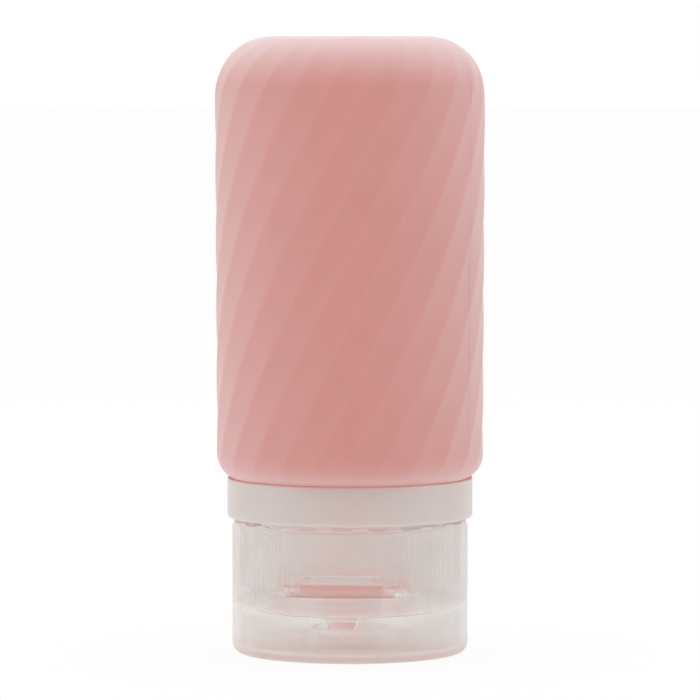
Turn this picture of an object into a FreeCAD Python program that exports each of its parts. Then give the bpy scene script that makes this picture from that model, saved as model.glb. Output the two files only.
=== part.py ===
import FreeCAD, Part
import math
import os
import re
import Sketcher

# A travel squeeze bottle of silicone that stands upside down on its flip-top screw cap.
# Millimetres, +Z up. The origin is the middle of the lid's outer face, which stands on the table.
# The front, with the thumb recess and the nail notch, faces -Y, and the film hinge is at +Y.

# Driving dimensions, in millimetres unless a line says degrees or a count.
sizes = {
    # Silicone body
    "overall_height": 91.5,
    "body_diameter": 40.0,
    "body_taper": 0.5,
    "body_wall": 2.0,
    "crown_radius": 8.5,
    "shoulder_radius": 3.7,
    "shoulder_sweep": 68.0,  # degrees of arc from the tube's wall to the collar
    "facet_count": 24,
    "facet_twist": 1.48,  # degrees of turn for each millimetre of height
    "facet_phase": 14.5,  # degrees, where the first facet edge starts at the collar
    "neck_wall": 1.4,
    "neck_fit": 0.05,
    "lip_thickness": 0.9,
    # Collar ring
    "collar_diameter": 36.4,
    "collar_height": 5.95,
    "collar_wall": 1.3,
    "collar_edge": 1.0,
    "collar_brow": 0.4,
    "spigot_diameter": 26.4,
    "spigot_wall": 1.1,
    # Sealing ring
    "gasket_thickness": 0.6,
    "gasket_clearance": 0.3,
    # Screw cap
    "cap_diameter": 35.0,
    "cap_height": 19.8,
    "rim_gap": 0.38,
    "rim_bevel": 0.9,
    "rim_inset": 0.3,
    "rim_wall": 2.3,
    "rim_pad_count": 20,
    "rim_notch_width": 3.3,
    "rim_notch_depth": 0.5,
    "shell_wall": 1.1,
    "skirt_wall": 1.0,
    "skirt_drop": 0.8,
    "thread_room": 1.0,
    "deck_underside": 9.1,
    "deck_thickness": 1.0,
    "boss_height": 2.4,
    "boss_wall": 1.1,
    "spout_end": 2.8,
    "spout_wall": 0.9,
    "recess_height": 3.8,
    "recess_shallow": 0.95,
    "recess_deep": 2.5,
    "recess_sweep": 76.0,  # degrees of the solid heel behind the thumb recess
    "upstand_depth": 0.9,
    "upstand_gap": 0.25,
    "upstand_sweep": 300.0,  # degrees, open at the hinge
    # Outlet valve and its retaining ring
    "valve_diameter": 13.2,
    "valve_flange": 1.0,
    "valve_fit": 0.2,
    "nozzle_diameter": 6.7,
    "nozzle_wall": 1.1,
    "nozzle_reach": 0.2,
    "nozzle_fit": 0.35,
    "membrane_thickness": 0.8,
    "slit_length": 3.2,
    "slit_width": 0.25,
    "retainer_height": 1.1,
    "retainer_bore": 8.8,
    "retainer_fit": 0.05,
    # Flip lid
    "seam_height": 8.0,
    "seam_drop": 1.0,
    "seam_gap": 0.15,
    "lid_wall": 1.2,
    "lid_floor": 1.3,
    "lid_edge": 2.2,
    "notch_width": 5.0,
    "notch_depth": 1.6,
    "plug_height": 2.5,
    "plug_wall": 0.9,
    "plug_gap": 0.4,
    "pip_diameter": 3.2,
    "pip_gap": 0.2,
    # Film hinge
    "hinge_inset": 1.0,
    "hinge_height": 3.6,
    "hinge_sweep": 48.0,  # degrees of the solid heel behind the hinge flat
    "hinge_pad": 1.4,
    "strap_width": 9.0,
    "strap_reach": 2.4,
    "strap_thickness": 0.4,
    "strap_crease": 0.5,
}

doc = FreeCAD.newDocument("TravelBottle")
sheet = doc.addObject("Spreadsheet::Sheet", "Sizes")
for row, (alias, number) in enumerate(sizes.items(), start=1):
    sheet.set(f"A{row}", alias)
    sheet.set(f"B{row}", str(number))
    sheet.setAlias(f"B{row}", alias)
doc.recompute()


def cells(formula):
    """The formula with each size name made a reference to its cell."""
    return re.sub(r"[a-z]+(?:_[a-z]+)+", lambda found: "Sizes." + found.group(0), formula)


def bind(feature, **formulas):
    """Ties the named properties of a feature to formulas of the sheet's sizes."""
    for name, formula in formulas.items():
        feature.setExpression(name, cells(formula))


def origin_feature(body, role):
    """The body's own origin plane or axis with that role."""
    return next(item for item in body.Origin.OriginFeatures if item.Role == role)


def outline(body, name, plane, corners):
    """A closed sketch of straight lines whose corners are pairs of formulas, across and up."""
    sketch = body.newObject("Sketcher::SketchObject", name)
    sketch.AttachmentSupport = [(origin_feature(body, plane), "")]
    sketch.MapMode = "FlatFace"
    count = len(corners)
    turn = 2 * math.pi / count
    start = [FreeCAD.Vector(math.cos(i * turn), math.sin(i * turn), 0) for i in range(count)]
    for i in range(count):
        sketch.addGeometry(Part.LineSegment(start[i], start[(i + 1) % count]), False)
    for i in range(count):
        sketch.addConstraint(Sketcher.Constraint("Coincident", i, 2, (i + 1) % count, 1))
    vertical_axis, horizontal_axis = -2, -1
    for i, (across, up) in enumerate(corners):
        for kind, formula, axis in (("DistanceX", across, vertical_axis), ("DistanceY", up, horizontal_axis)):
            if formula == "0":
                sketch.addConstraint(Sketcher.Constraint("PointOnObject", i, 1, axis))
                continue
            place = sketch.addConstraint(Sketcher.Constraint(kind, -1, 1, i, 1, 1.0))
            sketch.setExpression(f"Constraints[{place}]", cells(formula))
    return sketch


def rectangle(left, right, low, high):
    """The four corners of a rectangle, from formulas of its sides."""
    return [(left, low), (right, low), (right, high), (left, high)]


def turned(body, name, corners, plane="XZ_Plane", sweep="360"):
    """Adds a turned form about Z, swept to both sides of its sketch."""
    feature = body.newObject("PartDesign::Revolution", name)
    sketch = outline(body, name + "Profile", plane, corners)
    feature.Profile = sketch
    feature.ReferenceAxis = (sketch, ["V_Axis"])
    feature.Midplane = True
    bind(feature, Angle=sweep)
    body.Tip = feature
    doc.recompute()
    return feature


def pocket(body, name, plane, corners, symmetric=True, reversed_side=False):
    """Cuts an outline right through, to both sides of its sketch or to one, and checks that it cut."""
    volume_before = body.Shape.Volume
    feature = body.newObject("PartDesign::Pocket", name)
    feature.Profile = outline(body, name + "Outline", plane, corners)
    feature.SideType = "Symmetric" if symmetric else "One side"
    feature.Type = "ThroughAll"
    feature.Reversed = reversed_side
    body.Tip = feature
    doc.recompute()
    if not body.Shape.Volume < volume_before:
        raise RuntimeError(name + " cuts nothing")
    return feature


def arc(centre, radius, first, last, steps=4):
    """The corners inside an arc of chords, without its two ends: centre is a pair of formulas, and the
    angles, in degrees, count from straight out towards straight up."""
    across, up = centre
    corners = []
    for step in range(1, steps):
        angle = f"({first} + ({last} - {first}) * {step} / {steps})"
        corners.append((f"{across} + {radius} * cos({angle})", f"{up} + {radius} * sin({angle})"))
    return corners


def new_body(label):
    """A part design body that carries the node's name."""
    body = doc.addObject("PartDesign::Body", label)
    body.Label = label
    return body


# Heights that more than one piece shares, worked out from the floor up
deck_top = "(deck_underside + deck_thickness)"
lip_end = f"({deck_top} + gasket_thickness)"
spigot_end = f"({lip_end} + lip_thickness)"
collar_bottom = "(cap_height + rim_gap)"
collar_top = f"({collar_bottom} + collar_height)"
boss_top = f"({deck_top} + boss_height)"
seam_front = "(seam_height - seam_drop)"
seam_back = "(seam_height + seam_drop)"

# Radii that more than one piece shares
cap_radius = "(cap_diameter / 2)"
shell_inner = f"({cap_radius} - shell_wall)"
rim_inner = f"({cap_radius} - rim_wall)"
spigot_radius = "(spigot_diameter / 2)"
spigot_bore = f"({spigot_radius} - spigot_wall)"
neck_radius = f"({spigot_bore} - neck_fit)"
neck_bore = f"({neck_radius} - neck_wall)"
skirt_inner = f"({spigot_radius} + thread_room)"
skirt_outer = f"({skirt_inner} + skirt_wall)"
boss_inner = "(valve_diameter / 2 + valve_fit)"
boss_outer = f"({boss_inner} + boss_wall)"
spout_bore = "(nozzle_diameter / 2 + nozzle_fit)"
spout_outer = f"({spout_bore} + spout_wall)"
lid_inner = f"({cap_radius} - lid_wall)"
hinge_face = f"({cap_radius} - hinge_inset)"


# bottle_body: the faceted outside is a loft through regular polygons that turn as they climb. They follow
# the shoulder's arc, the slightly tapered tube and the crown's arc. A turned neck joins it below, and a
# turned core makes the hollow.
def facet_ring(name, radius, height):
    """One cross-section of the faceted body: a regular polygon turned in step with its height."""
    ring = doc.addObject("Part::RegularPolygon", name)
    bind(ring, Polygon="facet_count", Circumradius=radius)
    ring.setExpression("Placement.Base.z", cells(height))
    turn = f"facet_phase + facet_twist * ({height} - {collar_top})"
    ring.setExpression("Placement.Rotation.Angle", cells(turn))
    return ring


def facet_loft(name, rings, ruled):
    """A solid through the rings, in straight strips where the rings are close together, or in smooth faces."""
    loft = doc.addObject("Part::Loft", name)
    loft.Sections = rings
    loft.Solid = True
    loft.Ruled = ruled
    return loft


heel_radius = "((body_diameter - body_taper) / 2)"
shoulder_centre = f"({collar_top} + shoulder_radius * sin(shoulder_sweep))"
crown_centre = "(overall_height - crown_radius)"
tube_length = f"({crown_centre} - {shoulder_centre})"

shoulder_steps = 4
shoulder_rings = []
for step in range(shoulder_steps, -1, -1):
    angle = f"(shoulder_sweep * {step} / {shoulder_steps})"
    radius = f"{heel_radius} - shoulder_radius * (1 - cos({angle}))"
    height = f"({shoulder_centre} - shoulder_radius * sin({angle}))"
    shoulder_rings.append(facet_ring(f"ShoulderRing{step}", radius, height))

# Each step of the tube turns the polygon by well under half a facet, so that the loft keeps its edges.
facet_angle = 360 / sizes["facet_count"]
tube_turn = abs(sizes["facet_twist"]) * (sizes["overall_height"] - sizes["crown_radius"] - sizes["cap_height"])
tube_steps = max(4, math.ceil(tube_turn / (0.4 * facet_angle)))
tube_rings = []
for step in range(tube_steps + 1):
    share = f"({step} / {tube_steps})"
    radius = f"{heel_radius} + body_taper / 2 * {share}"
    height = f"({shoulder_centre} + {tube_length} * {share})"
    tube_rings.append(facet_ring(f"TubeRing{step}", radius, height))

crown_steps = 7
crown_rings = []
for step in range(crown_steps + 1):
    angle = f"(90 * {step} / {crown_steps})"
    radius = f"body_diameter / 2 - crown_radius * (1 - cos({angle}))"
    height = f"({crown_centre} + crown_radius * sin({angle}))"
    crown_rings.append(facet_ring(f"CrownRing{step}", radius, height))

facet_form = doc.addObject("Part::MultiFuse", "FacetForm")
facet_form.Shapes = [
    facet_loft("ShoulderLoft", shoulder_rings, True),
    facet_loft("TubeLoft", tube_rings, False),
    facet_loft("CrownLoft", crown_rings, True),
]
doc.recompute()

neck = new_body("BottleNeck")
turned(neck, "NeckForm", [
    ("0", lip_end),
    (spigot_radius, lip_end),
    (spigot_radius, spigot_end),
    (neck_radius, spigot_end),
    (neck_radius, f"{collar_top} + body_wall / 2"),
    ("0", f"{collar_top} + body_wall / 2"),
])

cavity_radius = f"({heel_radius} - body_wall)"
cavity_floor = f"({collar_top} + body_wall)"
cavity_top = "(overall_height - body_wall)"
dome_radius = "(crown_radius - body_wall)"
hem_radius = "(shoulder_radius - body_wall)"
core = new_body("BottleCore")
turned(core, "CoreForm", [
    ("0", f"{lip_end} - lip_thickness"),
    (neck_bore, f"{lip_end} - lip_thickness"),
    (neck_bore, cavity_floor),
    (f"{cavity_radius} - {hem_radius}", cavity_floor),
    *arc((f"{cavity_radius} - {hem_radius}", f"{cavity_floor} + {hem_radius}"), hem_radius, -90, 0, steps=2),
    (cavity_radius, f"{cavity_floor} + {hem_radius}"),
    (cavity_radius, f"{cavity_top} - {dome_radius}"),
    *arc((f"{cavity_radius} - {dome_radius}", f"{cavity_top} - {dome_radius}"), dome_radius, 0, 90),
    (f"{cavity_radius} - {dome_radius}", cavity_top),
    ("0", cavity_top),
])

bottle_solid = doc.addObject("Part::Fuse", "BottleSolid")
bottle_solid.Base = facet_form
bottle_solid.Tool = neck
bottle_body = doc.addObject("Part::Cut", "bottle_body")
bottle_body.Base = bottle_solid
bottle_body.Tool = core
doc.recompute()

# collar_ring: a plain band hung from a flange under the bottle's shoulder, and the spigot that carries the
# screw thread. The hollow between band and spigot takes the cap's skirt.
collar_ring = new_body("collar_ring")
collar_radius = "(collar_diameter / 2)"
band_inner = f"({collar_radius} - collar_wall)"
turned(collar_ring, "CollarForm", [
    (spigot_bore, spigot_end),
    (spigot_radius, spigot_end),
    (spigot_radius, f"{collar_top} - collar_wall"),
    (band_inner, f"{collar_top} - collar_wall"),
    (band_inner, collar_bottom),
    (f"{collar_radius} - collar_edge", collar_bottom),
    *arc((f"{collar_radius} - collar_edge", f"{collar_bottom} + collar_edge"), "collar_edge", -90, 0, steps=3),
    (collar_radius, f"{collar_bottom} + collar_edge"),
    (collar_radius, f"{collar_top} - collar_brow"),
    *arc((f"{collar_radius} - collar_brow", f"{collar_top} - collar_brow"), "collar_brow", 0, 90, steps=2),
    (f"{collar_radius} - collar_brow", collar_top),
    (spigot_bore, collar_top),
])

# cap_gasket: a flat ring pinched between the bottle's lip and the cap's deck.
cap_gasket = new_body("cap_gasket")
turned(cap_gasket, "GasketForm", rectangle(neck_bore, f"{skirt_inner} - gasket_clearance", deck_top, lip_end))

# cap_base: outer shell and inner threaded skirt joined by the deck. Below the deck a rim runs down to the
# sloping seam with the lid, and an upstand inside it steadies the closed lid. The spout hangs from the
# deck's middle, and a boss above it seats the valve.
cap_base = new_body("cap_base")
below_seam = "(seam_height - 2 * seam_drop)"
skirt_top = "(cap_height - skirt_drop)"
turned(cap_base, "CapForm", [
    (spout_bore, "deck_underside"),
    (rim_inner, "deck_underside"),
    (rim_inner, below_seam),
    (cap_radius, below_seam),
    (cap_radius, "cap_height - rim_bevel"),
    (f"{cap_radius} - rim_inset", "cap_height"),
    (shell_inner, "cap_height"),
    (shell_inner, deck_top),
    (skirt_outer, deck_top),
    (skirt_outer, skirt_top),
    (skirt_inner, skirt_top),
    (skirt_inner, deck_top),
    (boss_outer, deck_top),
    (boss_outer, boss_top),
    (boss_inner, boss_top),
    (boss_inner, deck_top),
    (spout_bore, deck_top),
])

# The seam's plane falls by the drop from the axis to the front and rises by it to the back.
seam_reach = "cap_diameter"
seam_at_front_reach = "seam_height - 2 * seam_drop"
seam_at_back_reach = "seam_height + 2 * seam_drop"
pocket(cap_base, "SeamCut", "YZ_Plane", [
    (f"-{seam_reach}", seam_at_front_reach),
    (seam_reach, seam_at_back_reach),
    (seam_reach, "0"),
    (f"-{seam_reach}", "0"),
])

turned(cap_base, "Spout", rectangle(spout_bore, spout_outer, "spout_end", "deck_underside"))

upstand_outer = f"({lid_inner} - upstand_gap)"
turned(cap_base, "Upstand",
       rectangle(f"-{upstand_outer}", f"-{rim_inner}", f"{seam_front} - upstand_depth", "deck_underside"),
       plane="YZ_Plane", sweep="upstand_sweep")

# Solid heels between shell and skirt, behind the thumb recess in front and the hinge flat at the back
heel_inner = f"({skirt_outer} - skirt_wall / 2)"
heel_outer = f"({shell_inner} + shell_wall / 2)"
heel_floor = "(deck_underside + deck_thickness / 2)"
recess_top = "(deck_underside + recess_height)"
hinge_top = f"({seam_back} + hinge_height)"
turned(cap_base, "ThumbHeel",
       rectangle(f"-{heel_outer}", f"-{heel_inner}", heel_floor, f"{recess_top} + shell_wall"),
       plane="YZ_Plane", sweep="recess_sweep")
turned(cap_base, "HingeHeel",
       rectangle(heel_inner, heel_outer, heel_floor, f"{hinge_top} + shell_wall"),
       plane="YZ_Plane", sweep="hinge_sweep")

pocket(cap_base, "ThumbRecess", "YZ_Plane", [
    ("-cap_diameter", "deck_underside"),
    (f"recess_deep - {cap_radius}", "deck_underside"),
    (f"recess_shallow - {cap_radius}", recess_top),
    ("-cap_diameter", recess_top),
])
pocket(cap_base, "HingeFlat", "YZ_Plane", rectangle(hinge_face, "cap_diameter", "0", hinge_top))

rim_notch = pocket(cap_base, "RimNotch", "XZ_Plane",
                   rectangle("-rim_notch_width / 2", "rim_notch_width / 2",
                             "cap_height - rim_notch_depth", "cap_height + rim_notch_depth"),
                   symmetric=False)
rim_notches = cap_base.newObject("PartDesign::PolarPattern", "RimNotches")
rim_notches.Originals = [rim_notch]
rim_notches.Axis = (origin_feature(cap_base, "Z_Axis"), [""])
rim_notches.Angle = 360
bind(rim_notches, Occurrences="rim_pad_count")
cap_base.Tip = rim_notches
doc.recompute()

# drip_valve: a flange that lies on the deck, a nozzle down the spout and a slit membrane at its end.
drip_valve = new_body("drip_valve")
nozzle_end = "(spout_end - nozzle_reach)"
valve_top = f"({deck_top} + valve_flange)"
nozzle_bore = "(nozzle_diameter / 2 - nozzle_wall)"
membrane_top = f"({nozzle_end} + membrane_thickness)"
turned(drip_valve, "ValveForm", [
    ("0", nozzle_end),
    ("nozzle_diameter / 2", nozzle_end),
    ("nozzle_diameter / 2", deck_top),
    ("valve_diameter / 2", deck_top),
    ("valve_diameter / 2", valve_top),
    (nozzle_bore, valve_top),
    (nozzle_bore, membrane_top),
    ("0", membrane_top),
])
for name, along, across in (("SlitX", "slit_length", "slit_width"), ("SlitY", "slit_width", "slit_length")):
    pocket(drip_valve, name, "XY_Plane",
           rectangle(f"-{along} / 2", f"{along} / 2", f"-{across} / 2", f"{across} / 2"))

# valve_retainer: a ring pushed into the boss on top of the valve's flange.
valve_retainer = new_body("valve_retainer")
turned(valve_retainer, "RetainerForm",
       rectangle("retainer_bore / 2", f"{boss_inner} - retainer_fit", valve_top, f"{valve_top} + retainer_height"))

# flip_lid: a shallow cup that carries the bottle when it stands. A plug ring closes round the spout, a pip
# holds the valve's slit shut, and the rim ends on the sloping seam.
flip_lid = new_body("flip_lid")
plug_inner = f"({spout_outer} + plug_gap)"
plug_outer = f"({plug_inner} + plug_wall)"
plug_top = "(lid_floor + plug_height)"
pip_top = f"({nozzle_end} - pip_gap)"
turned(flip_lid, "LidForm", [
    ("0", "0"),
    (f"{cap_radius} - lid_edge", "0"),
    *arc((f"{cap_radius} - lid_edge", "lid_edge"), "lid_edge", -90, 0),
    (cap_radius, "lid_edge"),
    (cap_radius, seam_at_back_reach),
    (lid_inner, seam_at_back_reach),
    (lid_inner, "lid_floor"),
    (plug_outer, "lid_floor"),
    (plug_outer, plug_top),
    (plug_inner, plug_top),
    (plug_inner, "lid_floor"),
    ("pip_diameter / 2", "lid_floor"),
    ("pip_diameter / 2", pip_top),
    ("0", pip_top),
])

hinge_low = f"({seam_back} - hinge_height)"
turned(flip_lid, "LidHingePad",
       rectangle(f"{lid_inner} - hinge_pad", f"{lid_inner} + lid_wall / 2",
                 f"{hinge_low} - lid_wall", seam_at_back_reach),
       plane="YZ_Plane", sweep="hinge_sweep")
pocket(flip_lid, "LidHingeFlat", "YZ_Plane",
       rectangle(hinge_face, "cap_diameter", hinge_low, "overall_height"))
pocket(flip_lid, "LidSeamCut", "YZ_Plane", [
    (f"-{seam_reach}", f"{seam_at_front_reach} - seam_gap"),
    (seam_reach, f"{seam_at_back_reach} - seam_gap"),
    (seam_reach, "overall_height"),
    (f"-{seam_reach}", "overall_height"),
])
pocket(flip_lid, "NailNotch", "XZ_Plane",
       rectangle("-notch_width / 2", "notch_width / 2",
                 f"{seam_front} - seam_gap - notch_depth", "overall_height"),
       symmetric=False, reversed_side=True)

# hinge_strap: the thin film that lies on the two hinge flats, creased along the seam where it folds.
hinge_strap = new_body("hinge_strap")
fold_height = f"(seam_height + seam_drop * {hinge_face} / {cap_radius} - seam_gap / 2)"
strap_face = f"({hinge_face} + strap_thickness)"
strap = hinge_strap.newObject("PartDesign::Pad", "StrapForm")
strap.Profile = outline(hinge_strap, "StrapProfile", "YZ_Plane", [
    (hinge_face, f"{fold_height} - strap_reach"),
    (strap_face, f"{fold_height} - strap_reach"),
    (strap_face, f"{fold_height} - strap_crease"),
    (f"{hinge_face} + strap_thickness / 2", fold_height),
    (strap_face, f"{fold_height} + strap_crease"),
    (strap_face, f"{fold_height} + strap_reach"),
    (hinge_face, f"{fold_height} + strap_reach"),
])
strap.SideType = "Symmetric"
bind(strap, Length="strap_width")
hinge_strap.Tip = strap
doc.recompute()

nodes = [bottle_body, collar_ring, cap_gasket, cap_base, drip_valve, valve_retainer, flip_lid, hinge_strap]

# Nothing is written unless every feature is sound.
for item in doc.Objects:
    if "Invalid" in item.State or "Error" in item.State:
        raise RuntimeError(f"{item.Name} failed: {item.State}")
for node in nodes:
    if node.Shape.isNull() or not node.Shape.isValid() or len(node.Shape.Solids) != 1:
        raise RuntimeError(f"{node.Label} is not one valid solid")

os.makedirs("parts", exist_ok=True)
for node in nodes:
    node.Shape.exportStep(f"parts/{node.Label}.step")
    box = node.Shape.BoundBox
    print(f"{node.Label}: {node.Shape.Volume:.1f} mm3, {len(node.Shape.Faces)} faces,"
          f" x {box.XMin:.2f} to {box.XMax:.2f}, y {box.YMin:.2f} to {box.YMax:.2f},"
          f" z {box.ZMin:.2f} to {box.ZMax:.2f}")
hollow = core.Shape.common(facet_form.Shape).Volume / 1000
print(f"hollow above the collar: {hollow:.1f} ml")
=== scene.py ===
import math

import bmesh
import bpy
import numpy as np
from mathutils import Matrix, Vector


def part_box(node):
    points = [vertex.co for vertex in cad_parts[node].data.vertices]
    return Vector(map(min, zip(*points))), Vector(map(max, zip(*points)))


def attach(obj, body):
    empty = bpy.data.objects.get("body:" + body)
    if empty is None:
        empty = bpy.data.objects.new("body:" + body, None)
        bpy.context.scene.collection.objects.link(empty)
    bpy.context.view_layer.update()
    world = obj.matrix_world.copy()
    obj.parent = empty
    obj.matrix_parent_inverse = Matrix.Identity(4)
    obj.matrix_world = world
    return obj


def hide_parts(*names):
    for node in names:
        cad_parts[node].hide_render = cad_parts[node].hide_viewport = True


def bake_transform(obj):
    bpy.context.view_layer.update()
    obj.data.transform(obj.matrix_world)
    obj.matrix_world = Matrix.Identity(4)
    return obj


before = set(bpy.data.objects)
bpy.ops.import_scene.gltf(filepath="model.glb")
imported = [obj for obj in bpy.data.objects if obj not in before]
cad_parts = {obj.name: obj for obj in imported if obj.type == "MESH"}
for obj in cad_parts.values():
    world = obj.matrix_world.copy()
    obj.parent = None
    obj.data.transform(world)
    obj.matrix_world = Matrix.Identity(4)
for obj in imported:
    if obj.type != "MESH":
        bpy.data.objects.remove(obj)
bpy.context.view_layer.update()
scene = bpy.context.scene

# Silicone body: the squeeze bottle itself, moulded in one piece from soft matte silicone. Flat facets wind up
# its outside, and its thin neck folds over the end of the collar's spigot.
# Lengths are in millimetres until a mesh is made, and azimuths count from the front (-Y) towards +X.
MM = 0.001
body_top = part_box("bottle_body")[1].z / MM
lip_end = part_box("bottle_body")[0].z / MM
collar_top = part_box("collar_ring")[1].z / MM
body_radius = 20.0
body_taper = 0.25
body_wall = 2.0
crown_radius = 8.5
shoulder_radius = 3.7
shoulder_sweep = math.radians(68)
neck_radius = 12.05
neck_bore = neck_radius - 1.4
lip_radius = 13.2
lip_thickness = 0.9
facet_count = 24
facet_angle = math.radians(360 / facet_count)
facet_twist = math.radians(1.48)
facet_phase = math.radians(14.5)
facet_edge_radius = 4.0
facet_columns = np.array([0, 0.025, 0.05, 0.075, 0.1, 0.2, 0.35, 0.5, 0.65, 0.8, 0.9, 0.925, 0.95, 0.975])
facets_start = 0.6
facets_full = 3.6
crown_facets_full = 0.35
edge_fade = 0.7
rounding_limit = 0.45
weld_distance = 0.002


def smooth_step(value, low, high):
    """0 below low, 1 above high, and an even S-curve between them."""
    share = np.clip((value - low) / (high - low), 0, 1)
    return share * share * (3 - 2 * share)


def facet_form(turn):
    """Radius of a polygon with rounded corners, as a share of its corner radius, at a turn from one corner:
    the flat's distance from the axis over the cosine of the angle from the flat's middle or, near a corner,
    the place where the ray leaves the rounding circle."""
    half = facet_angle / 2
    from_corner = np.abs((turn + half) % facet_angle - half)
    rounding = facet_edge_radius / body_radius
    centre = 1 - rounding / math.cos(half)
    reach = half - math.atan((math.sin(half) - rounding * math.tan(half)) / math.cos(half))
    flat = math.cos(half) / np.cos(half - from_corner)
    beside = centre * np.sin(from_corner)
    arc = centre * np.cos(from_corner) + np.sqrt(np.maximum(rounding**2 - beside**2, 0))
    return np.where(from_corner < reach, arc, flat) / (centre + rounding)


def rounded(corners, steps=5, loop=False):
    """The rows of a profile through corners (radius, height, rounding): a corner with a rounding becomes the
    arc that touches both its sides, as a rational quadratic curve with the sine of half the corner's angle as
    its weight. A radius or height may be an array with one value for each column round the axis."""
    width = max(np.size(value) for corner in corners for value in corner[:2])
    points = np.array([[np.broadcast_to(value, width) for value in corner[:2]] for corner in corners], float)
    points = points.transpose(0, 2, 1)
    to_last = np.roll(points, 1, axis=0) - points
    to_next = np.roll(points, -1, axis=0) - points
    if not loop:
        to_last[0] = 0
        to_next[-1] = 0
    last_length = np.linalg.norm(to_last, axis=2, keepdims=True)
    next_length = np.linalg.norm(to_next, axis=2, keepdims=True)
    to_last = to_last / np.maximum(last_length, 1e-9)
    to_next = to_next / np.maximum(next_length, 1e-9)
    half = np.arccos(np.clip((to_last * to_next).sum(axis=2, keepdims=True), -1, 1)) / 2
    share = np.linspace(0, 1, steps + 1)[:, None, None]
    rows = []
    for i, corner in enumerate(corners):
        if corner[2] == 0:
            rows.append(points[i][None])
            continue
        reach = corner[2] / np.maximum(np.tan(half[i]), 1e-6)
        reach = np.minimum(reach, rounding_limit * np.minimum(last_length[i], next_length[i]))
        first = points[i] + to_last[i] * reach
        last = points[i] + to_next[i] * reach
        middle = 2 * share * (1 - share) * np.sin(half[i])
        total = (1 - share) ** 2 + middle + share**2
        rows.append(((1 - share) ** 2 * first + middle * points[i] + share**2 * last) / total)
    rows = np.concatenate(rows)
    return rows[..., 0], rows[..., 1]


def around(radius, azimuth, height):
    """Points at a radius and an azimuth round the Z axis, at a height."""
    parts = np.broadcast_arrays(radius * np.sin(azimuth), -radius * np.cos(azimuth), height)
    return np.stack(parts, axis=-1)


def grid_piece(name, points, material, crease=30, closed_rows=False, closed_columns=True, mark=None):
    """A mesh object from a grid of points: a quad between each four neighbours, closed round the columns or
    the rows where asked, with points that meet made one. A mark, with a value for each point, becomes an
    attribute that the material reads."""
    rows, columns = points.shape[:2]
    index = np.arange(rows * columns).reshape(rows, columns)
    near = index if closed_rows else index[:-1]
    far = np.roll(index, -1, axis=0) if closed_rows else index[1:]
    quads = np.stack([near, np.roll(near, -1, axis=1), np.roll(far, -1, axis=1), far], axis=-1)
    if not closed_columns:
        quads = quads[:, :-1]
    mesh = bpy.data.meshes.new(name)
    mesh.from_pydata((points.reshape(-1, 3) * MM).tolist(), [], quads.reshape(-1, 4).tolist())
    if mark is not None:
        mesh.attributes.new("mark", "FLOAT", "POINT").data.foreach_set("value", mark.ravel())
    shape = bmesh.new()
    shape.from_mesh(mesh)
    bmesh.ops.remove_doubles(shape, verts=shape.verts, dist=weld_distance * MM)
    shape.to_mesh(mesh)
    shape.free()
    mesh.shade_smooth()
    mesh.set_sharp_from_angle(angle=math.radians(crease))
    mesh.materials.append(material)
    piece = bpy.data.objects.new(name, mesh)
    scene.collection.objects.link(piece)
    return piece


def add_node(tree, kind, inputs=None, **settings):
    """A node with its settings and its input values or links: a socket is linked and anything else is set."""
    made = tree.nodes.new(kind)
    for key, value in settings.items():
        setattr(made, key, value)
    for key, value in (inputs or {}).items():
        if isinstance(value, bpy.types.NodeSocket):
            tree.links.new(value, made.inputs[key])
        else:
            made.inputs[key].default_value = value
    return made


def ramp(tree, value, start, end, high=1.0, low=0.0):
    """A value turned into a share, low at start and high at end. The start may lie above the end."""
    return add_node(tree, "ShaderNodeMapRange", {
        "Value": value, "From Min": start, "From Max": end, "To Min": low, "To Max": high,
    }).outputs["Result"]


def math_node(tree, operation, *values):
    """The result of a Math node: a socket is linked and a number is set."""
    made = add_node(tree, "ShaderNodeMath", operation=operation)
    for slot, value in zip(made.inputs, values):
        if isinstance(value, bpy.types.NodeSocket):
            tree.links.new(value, slot)
        else:
            slot.default_value = value
    return made.outputs["Value"]


def tinted(tree, colour, tints):
    """A colour socket, mixed in turn towards each shade by its share."""
    for share, shade in tints:
        colour = add_node(tree, "ShaderNodeMix", {
            "Factor": share, "A": colour, "B": (*shade, 1),
        }, data_type="RGBA").outputs["Result"]
    return colour


def moulded_skin():
    """A node group for what a mould leaves on a matte surface: fine spark grain, and a faint cloudiness."""
    group = bpy.data.node_groups.new("moulded skin", "ShaderNodeTree")
    for name in ("Grain Scale", "Cloud Scale"):
        group.interface.new_socket(name, in_out="INPUT", socket_type="NodeSocketFloat")
    for name in ("Grain", "Cloud"):
        group.interface.new_socket(name, in_out="OUTPUT", socket_type="NodeSocketFloat")
    given = add_node(group, "NodeGroupInput")
    place = add_node(group, "ShaderNodeTexCoord").outputs["Object"]
    grain = add_node(group, "ShaderNodeTexNoise", {
        "Vector": place, "Scale": given.outputs["Grain Scale"], "Detail": 3.0, "Roughness": 0.6,
    })
    cloud = add_node(group, "ShaderNodeTexNoise", {
        "Vector": place, "Scale": given.outputs["Cloud Scale"], "Detail": 4.0, "Roughness": 0.55,
    })
    add_node(group, "NodeGroupOutput", {"Grain": grain.outputs["Fac"], "Cloud": cloud.outputs["Fac"]})
    return group


skin_group = moulded_skin()
cloud_range = (0.3, 0.7)


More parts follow.
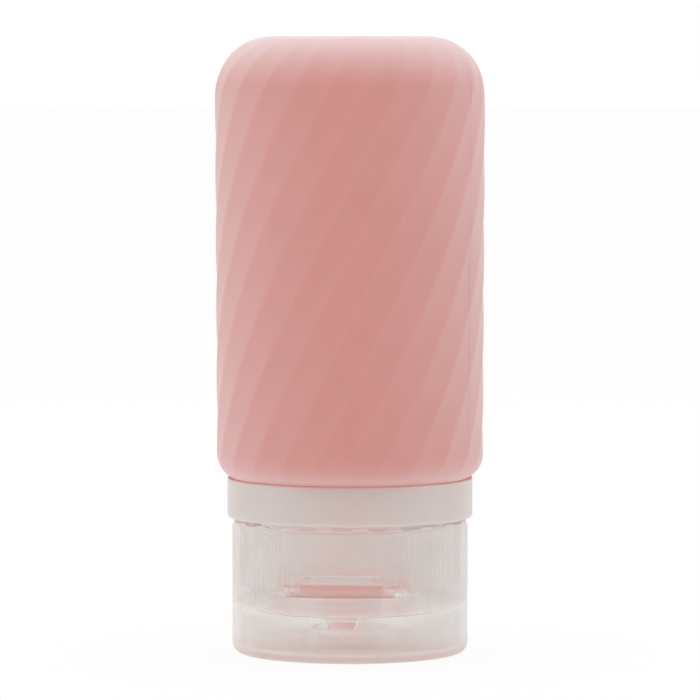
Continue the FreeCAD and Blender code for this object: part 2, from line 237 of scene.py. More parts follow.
def moulded_material(name, shades, grain_scale, cloud_scale, roughness, grain_depth):
    """A moulded surface: colour that drifts between two shades, roughness that follows the grain, and a grain
    bump. Gives the material and its Principled shader, for what else it needs."""
    material = bpy.data.materials.new(name)
    material.use_nodes = True
    tree = material.node_tree
    shader = tree.nodes["Principled BSDF"]
    skin = add_node(tree, "ShaderNodeGroup", node_tree=skin_group)
    skin.inputs["Grain Scale"].default_value = grain_scale
    skin.inputs["Cloud Scale"].default_value = cloud_scale
    drift = ramp(tree, skin.outputs["Cloud"], *cloud_range)
    colour = add_node(tree, "ShaderNodeMix", {
        "Factor": drift, "A": (*shades[0], 1), "B": (*shades[1], 1),
    }, data_type="RGBA")
    gloss = ramp(tree, skin.outputs["Grain"], 0.0, 1.0, high=roughness[1], low=roughness[0])
    bump = add_node(tree, "ShaderNodeBump", {
        "Height": skin.outputs["Grain"], "Strength": 1.0, "Distance": grain_depth * MM,
    })
    tree.links.new(colour.outputs["Result"], shader.inputs["Base Color"])
    tree.links.new(gloss, shader.inputs["Roughness"])
    tree.links.new(bump.outputs["Normal"], shader.inputs["Normal"])
    return material, shader


# Painted light and shade in the silicone's colour: a painted highlight along the facet edges, a painted
# shadow in the crevice above the collar, painted light on the thin silicone below the collar's top, and a
# painted sheen on slants, crown and shoulder. Reaches and starts count in millimetres from the collar's top
# or the body's top.
edge_highlight_shade = (0.622, 0.278, 0.250)
# Painted shadow: a deep red tone in the crevice just above the collar's top, under the shoulder.
crevice_shadow_shade = (0.55, 0.18, 0.145)
crevice_start = 0.5
crevice_full = 0.2
# Painted light: the silicone below the collar's top, the neck, lip, gasket and valve, is paler, as if lit
# through its thin walls.
thin_lit_shade = (0.78, 0.40, 0.36)
thin_reach = 1.5
# Painted sheen: a pale haze mixed into the colour, growing at a slant, with more on the crown under the top
# lamp and on the shoulder above the floor.
sheen_shade = (0.88, 0.91, 0.96)
sheen_share = 0.25
crown_sheen = 0.24
crown_sheen_depth = 7.0
shoulder_sheen = 0.08
shoulder_sheen_reach = 4.0
shoulder_sheen_full = 0.8
silicone, silicone_shader = moulded_material(
    "matte pink silicone", shades=((0.605, 0.262, 0.234), (0.622, 0.276, 0.247)),
    grain_scale=5200, cloud_scale=160, roughness=(0.52, 0.66), grain_depth=0.012,
)
silicone_shader.inputs["Subsurface Weight"].default_value = 0.6
silicone_shader.inputs["Subsurface Radius"].default_value = (1.0, 0.45, 0.38)
silicone_shader.inputs["Subsurface Scale"].default_value = 1.5 * MM
silicone_shader.inputs["Sheen Weight"].default_value = 0.1
silicone_shader.inputs["Sheen Roughness"].default_value = 0.6
tree = silicone.node_tree
place = add_node(tree, "ShaderNodeTexCoord").outputs["Object"]
level = add_node(tree, "ShaderNodeSeparateXYZ", {"Vector": place}).outputs["Z"]
edge_highlight = add_node(tree, "ShaderNodeAttribute", attribute_name="mark").outputs["Fac"]
crevice_shadow = ramp(tree, level, (collar_top + crevice_start) * MM, (collar_top + crevice_full) * MM)
thin_lit_share = ramp(tree, level, collar_top * MM, (collar_top - thin_reach) * MM)
# Painted sheen on the crown and the shoulder, added to the painted sheen at a slant.
crown_sheen_share = ramp(tree, level, (body_top - crown_sheen_depth) * MM, body_top * MM, high=crown_sheen)
shoulder_sheen_share = ramp(
    tree, level, (collar_top + shoulder_sheen_reach) * MM, (collar_top + shoulder_sheen_full) * MM,
    high=shoulder_sheen,
)
crown_and_shoulder_sheen = math_node(tree, "ADD", crown_sheen_share, shoulder_sheen_share)
slant = add_node(tree, "ShaderNodeLayerWeight", {"Blend": 0.5}).outputs["Facing"]
painted_sheen = math_node(tree, "MULTIPLY_ADD", slant, sheen_share, crown_and_shoulder_sheen)
# The painted highlight, painted crevice shadow, painted light on the thin parts and painted sheen go into the
# colour in turn.
silicone_colour = tinted(tree, silicone_shader.inputs["Base Color"].links[0].from_socket, (
    (edge_highlight, edge_highlight_shade),
    (crevice_shadow, crevice_shadow_shade),
    (thin_lit_share, thin_lit_shade),
    (painted_sheen, sheen_shade),
))
tree.links.new(silicone_colour, silicone_shader.inputs["Base Color"])

heel_radius = body_radius - body_taper
shoulder_centre = collar_top + shoulder_radius * math.sin(shoulder_sweep)
crown_centre = body_top - crown_radius
inside_radius, inside_height = rounded([
    (0, body_top - body_wall, 0),
    (heel_radius - body_wall, body_top - body_wall, crown_radius - body_wall),
    (heel_radius - body_wall, collar_top + body_wall, shoulder_radius - body_wall),
    (neck_bore, collar_top + body_wall, 0.8),
    (neck_bore, lip_end, 0.25),
    (lip_radius, lip_end, 0.35),
    (lip_radius, lip_end + lip_thickness, 0.25),
    (neck_radius, lip_end + lip_thickness, 0.1),
    (neck_radius, collar_top, 0.1),
], steps=8)
shoulder_turn = np.linspace(shoulder_sweep, 0, 10)
tube_share = np.linspace(0, 1, 64)[1:]
crown_turn = np.linspace(0, math.pi / 2, 21)[1:]
flat_share = np.linspace(1, 0, 8)[1:]
outside_radius = np.concatenate([
    heel_radius - shoulder_radius * (1 - np.cos(shoulder_turn)),
    heel_radius + body_taper * tube_share,
    body_radius - crown_radius * (1 - np.cos(crown_turn)),
    (body_radius - crown_radius) * flat_share,
])
outside_height = np.concatenate([
    shoulder_centre - shoulder_radius * np.sin(shoulder_turn),
    shoulder_centre + (crown_centre - shoulder_centre) * tube_share,
    crown_centre + crown_radius * np.sin(crown_turn),
    np.full(len(flat_share), body_top),
])
crown_facets = smooth_step(
    outside_radius, body_radius - crown_radius, body_radius - crown_facets_full * crown_radius)
facet_share = smooth_step(outside_height, collar_top + facets_start, collar_top + facets_full)
facet_share = facet_share * np.where(outside_height > crown_centre, crown_facets, 1)


def facet_azimuth(height):
    """Azimuth of the first facet edge at a height: it turns evenly as it climbs."""
    return facet_phase + facet_twist * (height - collar_top)


turn = ((np.arange(facet_count)[:, None] + facet_columns) * facet_angle).ravel()
outside = around(
    outside_radius[:, None] * (1 + facet_share[:, None] * (facet_form(turn) - 1)),
    turn + facet_azimuth(outside_height)[:, None],
    outside_height[:, None],
)
inside = around(inside_radius, turn + facet_phase, inside_height)
# Painted highlight: a pale line along each facet edge, where the rounded edge catches light. It becomes the
# body's mark.
from_edge = np.abs((turn + facet_angle / 2) % facet_angle - facet_angle / 2) * body_radius
edge_highlight_mask = facet_share[:, None] * (1 - smooth_step(from_edge, 0, edge_fade))
edge_highlight_mask = np.concatenate([np.zeros(inside.shape[:2]), edge_highlight_mask])
bottle_body = grid_piece(
    "silicone_body", np.concatenate([inside, outside]), silicone, crease=50, mark=edge_highlight_mask)
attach(bottle_body, "bottle")
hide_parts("bottle_body")

# Mould lines: the faint raised seams that the two halves of the silicone mould leave up opposite sides of the
# body. Each is a thin half-round bead that lies on the facets, too thin for light to scatter in.
line_azimuths = (math.radians(67.5), math.radians(247.5))
line_half_width = 0.14
line_depth = 0.03
line_start = 2.5
line_crown_share = 0.9
line_end_taper = 0.3
line_silicone = silicone.copy()
line_silicone.name = "mould line silicone"
line_silicone.node_tree.nodes["Principled BSDF"].inputs["Subsurface Weight"].default_value = 0
line_rows = outside_height > collar_top + line_start
line_rows = line_rows & (outside_radius > body_radius - line_crown_share * crown_radius)
line_radius = outside_radius[line_rows][:, None]
line_height = outside_height[line_rows][:, None]
bead_turn = np.linspace(2 * math.pi, 0, 10, endpoint=False)
for side, azimuth in zip(("right", "left"), line_azimuths):
    bead_azimuth = azimuth + line_half_width * np.cos(bead_turn) / line_radius
    under = 1 + facet_share[line_rows][:, None] * (facet_form(bead_azimuth - facet_azimuth(line_height)) - 1)
    ends = np.sin(np.linspace(0, math.pi, len(line_radius)))[:, None] ** line_end_taper
    bead = around(line_radius * under + line_depth * ends * np.sin(bead_turn), bead_azimuth, line_height)
    bead[0] = bead[0].mean(axis=0)
    bead[-1] = bead[-1].mean(axis=0)
    mould_line = grid_piece(f"mould_line_{side}", bead, line_silicone)
    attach(mould_line, "bottle")

# Collar ring: the frosted polypropylene ring under the shoulder, moulded in one piece. A plain band shows
# outside, and inside it a spigot carries the screw thread and holds the bottle's neck.
collar_bottom = collar_top - 5.95
spigot_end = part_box("collar_ring")[0].z / MM
collar_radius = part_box("collar_ring")[1].x / MM
collar_wall = 1.3
spigot_radius = 13.2
spigot_bore = spigot_radius - 1.1
thread_lead = 4.0
thread_foot = 1.9
thread_crest = 1.0
thread_depth = 0.7
thread_fade = 0.8

# Frosting hides what lies straight behind it, more so at a slant, but lets most of the light through. It
# hides more at the collar, near the floor and where the screw cap's mesh is marked: the first half of a mark
# thickens the haze, and the rest paints on it the pink glow of the silicone behind. Starts count in
# millimetres up from the floor or down from the collar's edges.
haze_straight = 0.38
haze_grazing = 0.88
haze_recess = 0.8
haze_collar = 0.58
haze_collar_slant = 0.95
haze_to_light = 0.03
haze_slant_full = 0.5
collar_slant_full = 0.3
mark_haze_full = 0.5
collar_haze_start = 1.6
collar_haze_full = 0.6
floor_haze_start = 3.5
floor_haze_full = 1.0
# Painted tone: the collar is painted darker and pinker, for the pink neck showing through it.
collar_painted_shade = (0.63, 0.567, 0.54)
collar_shade_start = 0.3
# Painted shadow: a deep pink line on the collar's top edge, in the joint under the silicone shoulder.
joint_shadow_shade = (0.62, 0.24, 0.20)
joint_start = 0.3
joint_full = 0.05
# Painted light: the plastic low on the cap and in the lid is painted paler, as if lit by the white floor.
floor_light_shade = (0.70, 0.67, 0.645)
floor_light_start = 10.0
floor_light_full = 7.0
# Painted glow: pink painted low in the lid near its axis, for light from the pink silicone above; it stays
# off the flat base.
pink_glow_shade = (0.63, 0.43, 0.39)
pink_glow_edge = 22.0
pink_glow_full = 14.0
bare_base = 0.02
bare_base_edge = 0.3
# Painted glow: the pink that the cap's mark paints, for the silicone lip behind the recess and on the seam
# band.
recess_glow_shade = (0.65, 0.415, 0.385)
frosted, frosted_shader = moulded_material(
    "frosted polypropylene", shades=((0.635, 0.592, 0.568), (0.665, 0.622, 0.598)),
    grain_scale=4200, cloud_scale=220, roughness=(0.42, 0.52), grain_depth=0.004,
)
frosted_shader.inputs["IOR"].default_value = 1.47
frosted_shader.inputs["Subsurface Weight"].default_value = 1.0
frosted_shader.inputs["Subsurface Radius"].default_value = (1.0, 0.95, 0.93)
frosted_shader.inputs["Subsurface Scale"].default_value = 1.0 * MM
tree = frosted.node_tree
facing = add_node(tree, "ShaderNodeLayerWeight", {"Blend": 0.5}).outputs["Facing"]
path = add_node(tree, "ShaderNodeLightPath")
leaving = add_node(tree, "ShaderNodeNewGeometry").outputs["Backfacing"]
mark = add_node(tree, "ShaderNodeAttribute", attribute_name="mark").outputs["Fac"]
place = add_node(tree, "ShaderNodeTexCoord").outputs["Object"]
level = add_node(tree, "ShaderNodeSeparateXYZ", {"Vector": place}).outputs["Z"]
flat = add_node(tree, "ShaderNodeVectorMath", operation="MULTIPLY")
tree.links.new(place, flat.inputs[0])
flat.inputs[1].default_value = (1, 1, 0)
reach = add_node(tree, "ShaderNodeVectorMath", operation="LENGTH")
tree.links.new(flat.outputs["Vector"], reach.inputs[0])
near_floor = ramp(tree, level, floor_haze_start * MM, floor_haze_full * MM)
on_collar = ramp(
    tree, level, (collar_bottom - collar_haze_start) * MM, (collar_bottom - collar_haze_full) * MM)
collar_haze = ramp(tree, facing, 0.0, collar_slant_full, high=haze_collar_slant, low=haze_collar)
thick_haze = ramp(tree, facing, 0.0, haze_slant_full, high=haze_grazing, low=haze_straight)
for local_haze in (
    near_floor,
    ramp(tree, mark, 0.0, mark_haze_full, high=haze_recess),
    math_node(tree, "MULTIPLY", on_collar, collar_haze),
):
    thick_haze = math_node(tree, "MAXIMUM", thick_haze, local_haze)
entry_haze = add_node(tree, "ShaderNodeMix", {
    "Factor": leaving, "A": thick_haze, "B": 0.0,
}, data_type="FLOAT")
veil = add_node(tree, "ShaderNodeMix", {
    "Factor": path.outputs["Is Camera Ray"], "A": haze_to_light, "B": entry_haze.outputs["Result"],
}, data_type="FLOAT")
tree.links.new(veil.outputs["Result"], frosted_shader.inputs["Alpha"])
# The painted pink glow: near the floor, near the axis, and off the flat base.
near_axis = ramp(tree, reach.outputs["Value"], pink_glow_edge * MM, pink_glow_full * MM)
off_base = ramp(tree, level, bare_base * MM, bare_base_edge * MM)
pink_glow = math_node(tree, "MULTIPLY", math_node(tree, "MULTIPLY", near_floor, near_axis), off_base)
# The painted tone, painted shadow, painted light and painted glows go into the plastic's colour in turn.
frosted_colour = tinted(tree, frosted_shader.inputs["Base Color"].links[0].from_socket, (
    (ramp(tree, level, (collar_bottom - collar_shade_start) * MM, collar_bottom * MM), collar_painted_shade),
    (ramp(tree, level, (collar_top - joint_start) * MM, (collar_top - joint_full) * MM), joint_shadow_shade),
    (ramp(tree, level, floor_light_start * MM, floor_light_full * MM), floor_light_shade),
    (pink_glow, pink_glow_shade),
    (ramp(tree, mark, mark_haze_full, 1.0), recess_glow_shade),
))
tree.links.new(frosted_colour, frosted_shader.inputs["Base Color"])


def thread_ridge(azimuth, height, low, high, shift=0.0):
    """How far a screw thread stands out, from 0 to 1: a ridge with sloping sides that climbs one lead for
    each turn, measured by the height's distance from the nearest turn, and that fades out at both ends."""
    from_turn = (height - shift - thread_lead * azimuth / (2 * math.pi)) % thread_lead - thread_lead / 2
    ridge = np.clip((thread_foot / 2 - np.abs(from_turn)) / ((thread_foot - thread_crest) / 2), 0, 1)
    begun = smooth_step(height, low, low + thread_fade)
    ended = smooth_step(height, high - thread_fade, high)
    return ridge * begun * (1 - ended)


azimuth = np.linspace(0, 2 * math.pi, 240, endpoint=False)
thread_low = spigot_end + 0.8
thread_high = collar_bottom - 0.4
thread_rows = [
    (spigot_radius + thread_depth * thread_ridge(azimuth, height, thread_low, thread_high), height, 0)
    for height in np.linspace(thread_low, thread_high, 36)
]
radius, height = rounded([
    (spigot_bore, spigot_end, 0.2),
    (spigot_radius, spigot_end, 0.3),
    *thread_rows,
    (spigot_radius, collar_top - collar_wall, 0.4),
    (collar_radius - collar_wall, collar_top - collar_wall, 0.4),
    (collar_radius - collar_wall, collar_bottom, 0.3),
    (collar_radius, collar_bottom, 0.9),
    (collar_radius, collar_top, 0.1),
    (spigot_bore, collar_top, 0.1),
], loop=True)
collar_ring = grid_piece("collar", around(radius, azimuth, height), frosted, closed_rows=True)
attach(collar_ring, "bottle")
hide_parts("collar_ring")

# Cap gasket: a flat silicone ring, cut from sheet, that lies between the bottle's lip and the cap's deck and
# seals the screwed joint.
gasket_low, gasket_high = (corner.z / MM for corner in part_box("cap_gasket"))
gasket_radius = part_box("cap_gasket")[1].x / MM
radius, height = rounded([
    (neck_bore, gasket_low, 0.15),
    (gasket_radius, gasket_low, 0.15),
    (gasket_radius, gasket_high, 0.15),
    (neck_bore, gasket_high, 0.15),
], steps=3, loop=True)
gasket_azimuth = np.linspace(0, 2 * math.pi, 128, endpoint=False)
cap_gasket = grid_piece("gasket", around(radius, gasket_azimuth, height), silicone, closed_rows=True)
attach(cap_gasket, "seal")
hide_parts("cap_gasket")

# Screw cap: frosted polypropylene, injection moulded. An outer shell with grip ribs and an inner threaded
# skirt stand together on a deck, with the spout below it and the valve's boss above. The thumb recess in
# front and the hinge flat at the back are cut by planes.
cap_radius = 17.5
cap_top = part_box("cap_base")[1].z / MM
spout_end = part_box("cap_base")[0].z / MM
deck_low = 9.1
deck_top = deck_low + 1.0
rim_bevel = 0.9
rim_inset = 0.3
pad_count = 20
notch_half_width = 1.65
notch_edge_inside = 0.6
notch_edge_outside = 0.4
rim_notch_depth = 0.25
shell_inner = cap_radius - 1.1
skirt_inner = 14.2
skirt_outer = 15.2
skirt_top = cap_top - 0.8
boss_inner = 6.8
boss_outer = 7.9
boss_top = deck_top + 2.4
spout_bore = 3.7
spout_outer = 4.6
upstand_outer = 16.05
upstand_low = 6.1
seam_height = 8.0
seam_drop = 1.0
rib_count = 124
rib_depth = 0.04
rib_start_above_seam = 1.3
rib_rise = 0.35
rib_row_spacing = 0.12
smooth_front = (math.radians(22), math.radians(34))
recess_low = deck_low + 0.6
lip_shows_to = recess_low + 1.9
lip_edge_blur = 0.1
recess_top = deck_low + 3.8
recess_cut_angle = math.radians(31) + 0.1
recess_mark_angle = 0.7
recess_mark_depth = (0.15, 0.5)
recess_face = 15.0
recess_slope = 1.55
heel_edge = (math.radians(37), math.radians(39))
heel_wall = 1.1
band_mark_share = 0.7
band_fade = (math.radians(28), math.radians(65))
hinge_face = 16.5
hinge_top = 12.6
hinge_cut_angle = math.radians(60)
hinge_heel_edge = (math.radians(23), math.radians(25))
upstand_ends = (math.radians(30), math.radians(33))
front_to_back = (math.radians(60), math.radians(120))
row_spacing = 0.3

azimuth = np.linspace(0, 2 * math.pi, rib_count * 6, endpoint=False)
from_front = np.abs((azimuth + math.pi) % (2 * math.pi) - math.pi)
from_back = math.pi - from_front


def seam(radius, around_axis):
    """Height of the sloping seam between cap and lid: a plane, lowest in front and highest at the back."""
    return seam_height - seam_drop * radius / cap_radius * np.cos(around_axis)


def hinge_clip(radius, angle_from_back):
    """The radius, cut by the flat plane of the hinge at the back."""
    flat = hinge_face / np.maximum(np.cos(angle_from_back), 0.5)
    return np.minimum(radius, np.where(angle_from_back < hinge_cut_angle, flat, radius))


def recess_clip(radius, height):
    """The radius, cut by the sloping plane of the thumb recess, which is deepest at its lower edge."""
    share = np.clip((height - deck_low) / (recess_top - deck_low), 0, 1)
    flat = (recess_face + recess_slope * share) / np.maximum(np.cos(from_front), 0.5)
    return np.minimum(radius, np.where(from_front < recess_cut_angle, flat, radius))


rib_start = seam(cap_radius, azimuth) + rib_start_above_seam
ledge = np.maximum(recess_low, rib_start + rib_rise)
rib_wave = 0.5 - 0.5 * np.cos(rib_count * azimuth)
rib_field = smooth_step(from_front, *smooth_front)


def ribbed(height):
    """The shell's outer radius with its ribs, which are sunk into the wall, rise from their starting curve
    and leave the front smooth."""
    risen = smooth_step(height, rib_start, rib_start + rib_rise)
    return cap_radius - rib_depth * rib_wave * rib_field * risen


pad_angle = 2 * math.pi / pad_count
from_notch = np.abs((azimuth + pad_angle / 2) % pad_angle - pad_angle / 2)
in_notch = 1 - smooth_step(
    from_notch * cap_radius, notch_half_width - notch_edge_inside, notch_half_width + notch_edge_outside)
rim_top = cap_top - rim_notch_depth * in_notch
on_upstand = 1 - smooth_step(from_back, *upstand_ends)
upstand_end = upstand_low + (seam(skirt_outer, azimuth) - upstand_low) * on_upstand
recess_heel = (recess_top + heel_wall - deck_top) * (1 - smooth_step(from_front, *heel_edge))
hinge_heel = (hinge_top + heel_wall - deck_top) * (1 - smooth_step(from_back, *hinge_heel_edge))
gap_floor = deck_top + recess_heel + hinge_heel
female_low = deck_top + 1.6
female_high = skirt_top - 0.5
female_heights = np.linspace(female_high, female_low, 34)
female_ridges = [
    thread_ridge(azimuth, height, female_low, female_high, shift=thread_lead / 2) for height in female_heights
]
female_rows = [
    (skirt_inner - thread_depth * ridge, height, 0) for ridge, height in zip(female_ridges, female_heights)
]
# One pair of rows runs round the shell: the top of the recess in front and of the hinge flat at the back.
to_back = smooth_step(from_front, *front_to_back)
recess_edge = recess_top + (hinge_top - row_spacing - recess_top) * to_back
hinge_edge = recess_edge + row_spacing
lower_rows = [
    (hinge_clip(ribbed(height), from_back), height, 0)
    for height in (rib_start, rib_start + rib_row_spacing, rib_start + 2 * rib_row_spacing)
]
recess_rows = [
    (hinge_clip(recess_clip(ribbed(height), height), from_back), height, rounding)
    for height, rounding in (
        (ledge, 0.3),
        (lip_shows_to - lip_edge_blur, 0),
        (lip_shows_to + lip_edge_blur, 0),
        (recess_edge, 0.15),
    )
]
radius, height = rounded([
    (spout_bore, deck_top, 0.15),
    (spout_bore, spout_end, 0.15),
    (spout_outer, spout_end, 0.3),
    (spout_outer, deck_low, 0.4),
    (skirt_outer, deck_low, 0.3),
    (skirt_outer, upstand_end, 0.2),
    (upstand_outer, upstand_end, 0.3),
    (upstand_outer, seam(upstand_outer, azimuth), 0.1),
    (hinge_clip(cap_radius, from_back), seam(cap_radius, azimuth), 0.12),
    *lower_rows,
    (hinge_clip(ribbed(ledge), from_back), ledge, 0.15),
    *recess_rows,
    (hinge_clip(ribbed(recess_edge), from_back), recess_edge, 0.15),
    (hinge_clip(ribbed(hinge_edge), from_back), hinge_edge, 0.15),
    (ribbed(hinge_edge), hinge_edge, 0.15),
    (ribbed(cap_top - rim_bevel), cap_top - rim_bevel, 0.2),
    (cap_radius - rim_inset, rim_top, 0.15),
    (shell_inner, rim_top, 0.2),
    (shell_inner, gap_floor, 0.3),
    (skirt_outer, gap_floor, 0.3),
    (skirt_outer, skirt_top, 0.3),
    (skirt_inner, skirt_top, 0.3),
    *female_rows,
    (skirt_inner, deck_top, 0.3),
    (boss_outer, deck_top, 0.3),
    (boss_outer, boss_top, 0.2),
    (boss_inner, boss_top, 0.2),
    (boss_inner, deck_top, 0.1),
], steps=2, loop=True)
# The cap's mark: in the thumb recess it thickens the haze and, below where the lip shows, paints the lip's
# pink glow on; in front above the seam it paints a weaker pink glow.
in_recess = (radius > skirt_inner + 0.4) & (height > recess_low - 0.05) & (height < recess_top)
in_recess = in_recess & (from_front < recess_mark_angle)
pink_share = np.where(height < lip_shows_to, 1.0, mark_haze_full)
recess_mark = in_recess * smooth_step(cap_radius - radius, *recess_mark_depth) * pink_share
on_band = (radius > upstand_outer + 0.1) & (height < ledge + 0.02)
band_mark = on_band * band_mark_share * (1 - smooth_step(from_front, *band_fade))
cap_mark = np.maximum(recess_mark, band_mark)
screw_cap = grid_piece("screw_cap", around(radius, azimuth, height), frosted, closed_rows=True, mark=cap_mark)
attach(screw_cap, "cap")
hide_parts("cap_base")

# Drip valve: a soft silicone moulding that hangs through the spout. Its flange lies on the deck inside the
# boss, and the end of its nozzle is a thin membrane with a cross slit that opens under pressure.
nozzle_end, valve_top = (corner.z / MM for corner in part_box("drip_valve"))
valve_radius = 6.6
nozzle_radius = 3.35
nozzle_bore = nozzle_radius - 1.1
membrane_thickness = 0.8
slit_half_length = 1.6
slit_half_width = 0.12
slit_depth = 0.5
slit_floor_share = 0.3
slit_end_fade = 0.3
valve_azimuth = np.linspace(0, 2 * math.pi, 160, endpoint=False)


def slit_groove(radius):
    """How deep the cross slit is at a radius: full along two lines through the middle, fading to its ends."""
    off_line = radius * np.minimum(np.abs(np.sin(valve_azimuth)), np.abs(np.cos(valve_azimuth)))
    open_width = 1 - smooth_step(off_line, slit_floor_share * slit_half_width, slit_half_width)
    open_length = 1 - smooth_step(radius, slit_half_length - slit_end_fade, slit_half_length)
    return slit_depth * open_width * open_length


membrane_rows = [(radius, nozzle_end + slit_groove(radius), 0) for radius in np.linspace(0.02, 1.7, 22)]
radius, height = rounded([
    (0, nozzle_end + slit_depth, 0),
    *membrane_rows,
    (nozzle_radius, nozzle_end, 0.5),
    (nozzle_radius, deck_top, 0.2),
    (valve_radius, deck_top, 0.2),
    (valve_radius, valve_top, 0.3),
    (nozzle_bore, valve_top, 0.3),
    (nozzle_bore, nozzle_end + membrane_thickness, 0.4),
    (0, nozzle_end + membrane_thickness, 0),
], steps=4)
drip_valve = grid_piece("valve", around(radius, valve_azimuth, height), silicone)
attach(drip_valve, "cap")
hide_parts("drip_valve")

# Valve retainer: a small polypropylene ring, pressed into the boss above the valve's flange to hold it down.
retainer_low, retainer_high = (corner.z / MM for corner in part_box("valve_retainer"))
retainer_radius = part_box("valve_retainer")[1].x / MM
retainer_bore = 4.4
radius, height = rounded([
    (retainer_bore, retainer_low, 0.1),
    (retainer_radius, retainer_low, 0.25),
    (retainer_radius, retainer_high, 0.1),
    (retainer_bore, retainer_high, 0.3),
], steps=3, loop=True)
retainer = grid_piece("retainer_ring", around(radius, gasket_azimuth, height), frosted, closed_rows=True)
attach(retainer, "cap")
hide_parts("valve_retainer")

# Flip lid: a shallow frosted polypropylene cup that the bottle stands on, moulded with the cap. A plug ring
# inside it closes round the spout, a pip holds the slit shut, and a nail notch in front helps to open it.
seam_gap = 0.15
lid_inner = cap_radius - 1.2
lid_floor = 1.3
lid_edge = 2.2
lid_edge_margin = 1.5
lid_notch_half_width = 2.5
lid_notch_edge_inside = 0.5
lid_notch_edge_outside = 0.3
lid_notch_depth = 1.6
plug_inner = 5.0
plug_outer = 5.9
plug_top = 3.8
pip_radius = 1.6
pip_top = 2.4
lid_hinge_low = 5.4
notch_wall = 0.4
lid_pad_radius = 14.9
lid_pad_low = 4.2
azimuth = np.linspace(0, 2 * math.pi, 720, endpoint=False)
from_front = np.abs((azimuth + math.pi) % (2 * math.pi) - math.pi)
from_back = math.pi - from_front
nail_notch = 1 - smooth_step(
    from_front * cap_radius, lid_notch_half_width - lid_notch_edge_inside,
    lid_notch_half_width + lid_notch_edge_outside,
)


def lid_rim(radius):
    """Height of the lid's rim: a small gap below the seam, or the notch's flat floor in front."""
    open_rim = seam(radius, azimuth) - seam_gap
    notch_floor = seam_height - seam_drop - seam_gap - lid_notch_depth
    return open_rim + (notch_floor - open_rim) * nail_notch


on_pad = 1 - smooth_step(from_back, *hinge_heel_edge)
rim_inner = lid_inner + (lid_pad_radius - lid_inner) * on_pad
clipped = hinge_clip(np.full(len(azimuth), cap_radius), from_back)
# The hinge flat starts from this row, which keeps below the rim where the nail notch lowers it.
shelf = np.minimum(lid_hinge_low, lid_rim(cap_radius) - notch_wall)
radius, height = rounded([
    (0, 0, 0),
    (cap_radius - lid_edge - lid_edge_margin, 0, 0),
    (cap_radius, 0, lid_edge),
    (cap_radius, shelf, 0.12),
    (clipped, shelf, 0.12),
    (clipped, lid_rim(cap_radius), 0.12),
    (rim_inner, lid_rim(lid_inner), 0.12),
    (rim_inner, lid_pad_low, 0.2),
    (lid_inner, lid_pad_low, 0.2),
    (lid_inner, lid_floor, 0.8),
    (plug_outer, lid_floor, 0.3),
    (plug_outer, plug_top, 0.2),
    (plug_inner, plug_top, 0.3),
    (plug_inner, lid_floor, 0.3),
    (pip_radius, lid_floor, 0.2),
    (pip_radius, pip_top, 0.4),
    (0, pip_top, 0),
], steps=6)
flip_lid = grid_piece("lid", around(radius, azimuth, height), frosted)
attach(flip_lid, "lid")
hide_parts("flip_lid")

# Film hinge: a thin strap of the same polypropylene across the seam at the back, with a crease where it
# folds. It reaches between the hinge flats of cap and lid.
strap_half_width = 4.5
strap_thickness = 0.4
strap_reach = 2.4
crease_reach = 0.5
edge_squareness = 40
fold_y = hinge_face + strap_thickness / 2
fold_height = seam_height + seam_drop * hinge_face / cap_radius - seam_gap / 2
along = np.concatenate([
    np.linspace(-strap_reach, -1.0, 6), np.linspace(-0.9, 0.9, 25), np.linspace(1.0, strap_reach, 6),
])
crease = np.clip(1 - np.abs(along) / crease_reach, 0, 1) * strap_thickness / 2
ends = np.sqrt(np.clip(1 - (np.abs(along) / strap_reach) ** edge_squareness, 0, 1))
outer_face = hinge_face + strap_thickness - crease
outer_face = fold_y + (outer_face - fold_y) * ends
inner_face = fold_y - (fold_y - hinge_face) * ends
strap_y = np.concatenate([outer_face, inner_face[::-1]])
strap_z = fold_height + np.concatenate([along, along[::-1]])
across = np.linspace(-strap_half_width, strap_half_width, 41)
fullness = np.sqrt(np.clip(1 - (np.abs(across) / strap_half_width) ** edge_squareness, 0, 1))
strap_points = np.stack(np.broadcast_arrays(
    across[None, :], fold_y + (strap_y[:, None] - fold_y) * fullness[None, :], strap_z[:, None]), axis=-1)
film_hinge = grid_piece("film_hinge", strap_points[::-1], frosted, closed_rows=True, closed_columns=False)
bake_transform(film_hinge)
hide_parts("hinge_strap")

# Floor: a wide pale sheet that the bottle stands on. The camera sees the white tent through it, with the
# bottle's soft shadow, so that a part that a pose lowers under it stays in sight.
floor_half_width = 6.0
floor_clearness = 0.86
floor_glow = 0.68
floor_white = 0.95
mesh = bpy.data.meshes.new("floor")
corners = np.array([[-1, -1, 0], [1, -1, 0], [1, 1, 0], [-1, 1, 0]]) * floor_half_width
mesh.from_pydata(corners.tolist(), [], [(0, 1, 2, 3)])
floor = bpy.data.objects.new("floor", mesh)
scene.collection.objects.link(floor)
paper = bpy.data.materials.new("white paper sweep")
paper.use_nodes = True
tree = paper.node_tree
tree.nodes.remove(tree.nodes["Principled BSDF"])


def seen_directly(tree):
    """1 for rays from the camera, and for those that reach it by reflection or through clear material."""
    path = add_node(tree, "ShaderNodeLightPath")
    mirrored = math_node(tree, "MAXIMUM", path.outputs["Is Glossy Ray"], path.outputs["Is Transmission Ray"])
    return math_node(tree, "MAXIMUM", path.outputs["Is Camera Ray"], mirrored)


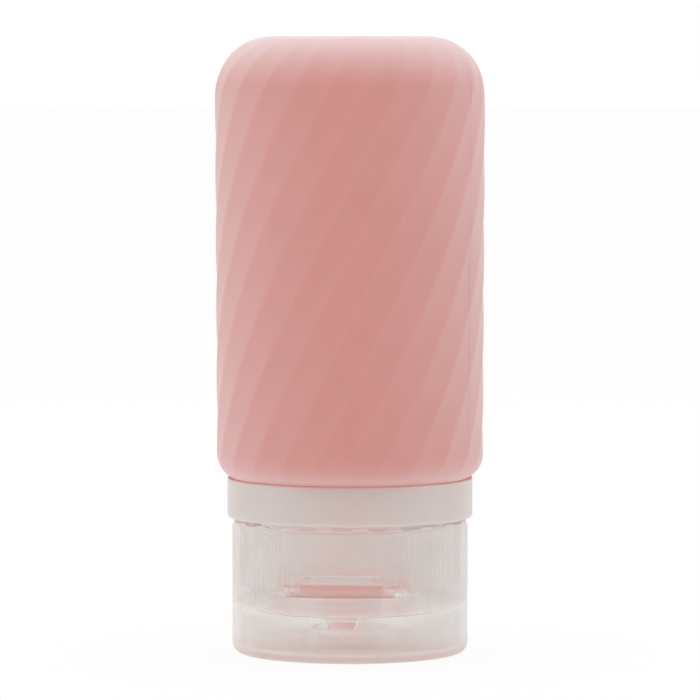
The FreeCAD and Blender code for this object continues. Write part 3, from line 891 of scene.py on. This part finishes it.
diffuse = add_node(tree, "ShaderNodeBsdfDiffuse", {"Color": (floor_white, floor_white, floor_white, 1)})
glow = add_node(tree, "ShaderNodeEmission", {"Color": (1, 1, 1, 1), "Strength": 1.0})
clear = add_node(tree, "ShaderNodeBsdfTransparent", {"Color": (1, 1, 1, 1)})
glow_share = ramp(tree, seen_directly(tree), 0.0, 1.0, high=floor_clearness, low=floor_glow)
to_camera = add_node(tree, "ShaderNodeLightPath").outputs["Is Camera Ray"]
white = add_node(tree, "ShaderNodeMixShader", {"Fac": to_camera})
tree.links.new(glow.outputs[0], white.inputs[1])
tree.links.new(clear.outputs[0], white.inputs[2])
mixed = add_node(tree, "ShaderNodeMixShader", {"Fac": glow_share})
tree.links.new(diffuse.outputs[0], mixed.inputs[1])
tree.links.new(white.outputs[0], mixed.inputs[2])
tree.links.new(mixed.outputs[0], tree.nodes["Material Output"].inputs["Surface"])
mesh.materials.append(paper)

# Light: a white studio tent. The world is white where the camera looks and gives an even light, and weak soft
# lamps stand to both sides, above and in front.
ambient_strength = 0.94
world = bpy.data.worlds.new("white tent")
scene.world = world
world.use_nodes = True
tree = world.node_tree
background = tree.nodes["Background"]
background.inputs["Color"].default_value = (1, 1, 1, 1)
strength = ramp(tree, seen_directly(tree), 0.0, 1.0, high=1.0, low=ambient_strength)
tree.links.new(strength, background.inputs["Strength"])


def soft_lamp(name, azimuth_degrees, elevation_degrees, distance, size, power):
    """A square lamp at an azimuth from the front and an elevation, aimed at the middle of the bottle."""
    lamp = bpy.data.lights.new(name, "AREA")
    lamp.shape = "SQUARE"
    lamp.size = size
    lamp.energy = power
    holder = bpy.data.objects.new(name, lamp)
    angle, rise = math.radians(azimuth_degrees), math.radians(elevation_degrees)
    middle = Vector((0, 0, 0.5 * body_top * MM))
    level_reach = math.cos(rise)
    direction = Vector((math.sin(angle) * level_reach, -math.cos(angle) * level_reach, math.sin(rise)))
    offset = distance * direction
    holder.location = middle + offset
    holder.rotation_euler = (-offset).to_track_quat("-Z", "Y").to_euler()
    scene.collection.objects.link(holder)


soft_lamp("left lamp", azimuth_degrees=-60, elevation_degrees=15, distance=0.6, size=0.5, power=0.25)
soft_lamp("right lamp", azimuth_degrees=60, elevation_degrees=15, distance=0.6, size=0.5, power=0.1)
soft_lamp("top lamp", azimuth_degrees=180, elevation_degrees=75, distance=0.6, size=0.5, power=0.6)
soft_lamp("front lamp", azimuth_degrees=0, elevation_degrees=40, distance=0.9, size=0.6, power=0.2)

# Camera: at the photograph's angle, a little right of the front and level with the bottle's top.
camera_azimuth = math.radians(4.5)
camera_distance = 0.785
camera_height = 0.0915
camera_aim = 0.045
camera_lens = 272.45
view = bpy.data.cameras.new("camera")
view.lens = camera_lens
view.sensor_width = 36.0
view.clip_start = 0.01
camera = bpy.data.objects.new("camera", view)
scene.collection.objects.link(camera)
camera.location = (
    camera_distance * math.sin(camera_azimuth), -camera_distance * math.cos(camera_azimuth), camera_height)
aim = Vector((0, 0, camera_aim)) - camera.location
camera.rotation_euler = aim.to_track_quat("-Z", "Y").to_euler()
scene.camera = camera

scene.view_settings.view_transform = "Standard"
scene.cycles.max_bounces = 24
scene.cycles.diffuse_bounces = 24
scene.cycles.transmission_bounces = 24
scene.cycles.transparent_max_bounces = 48
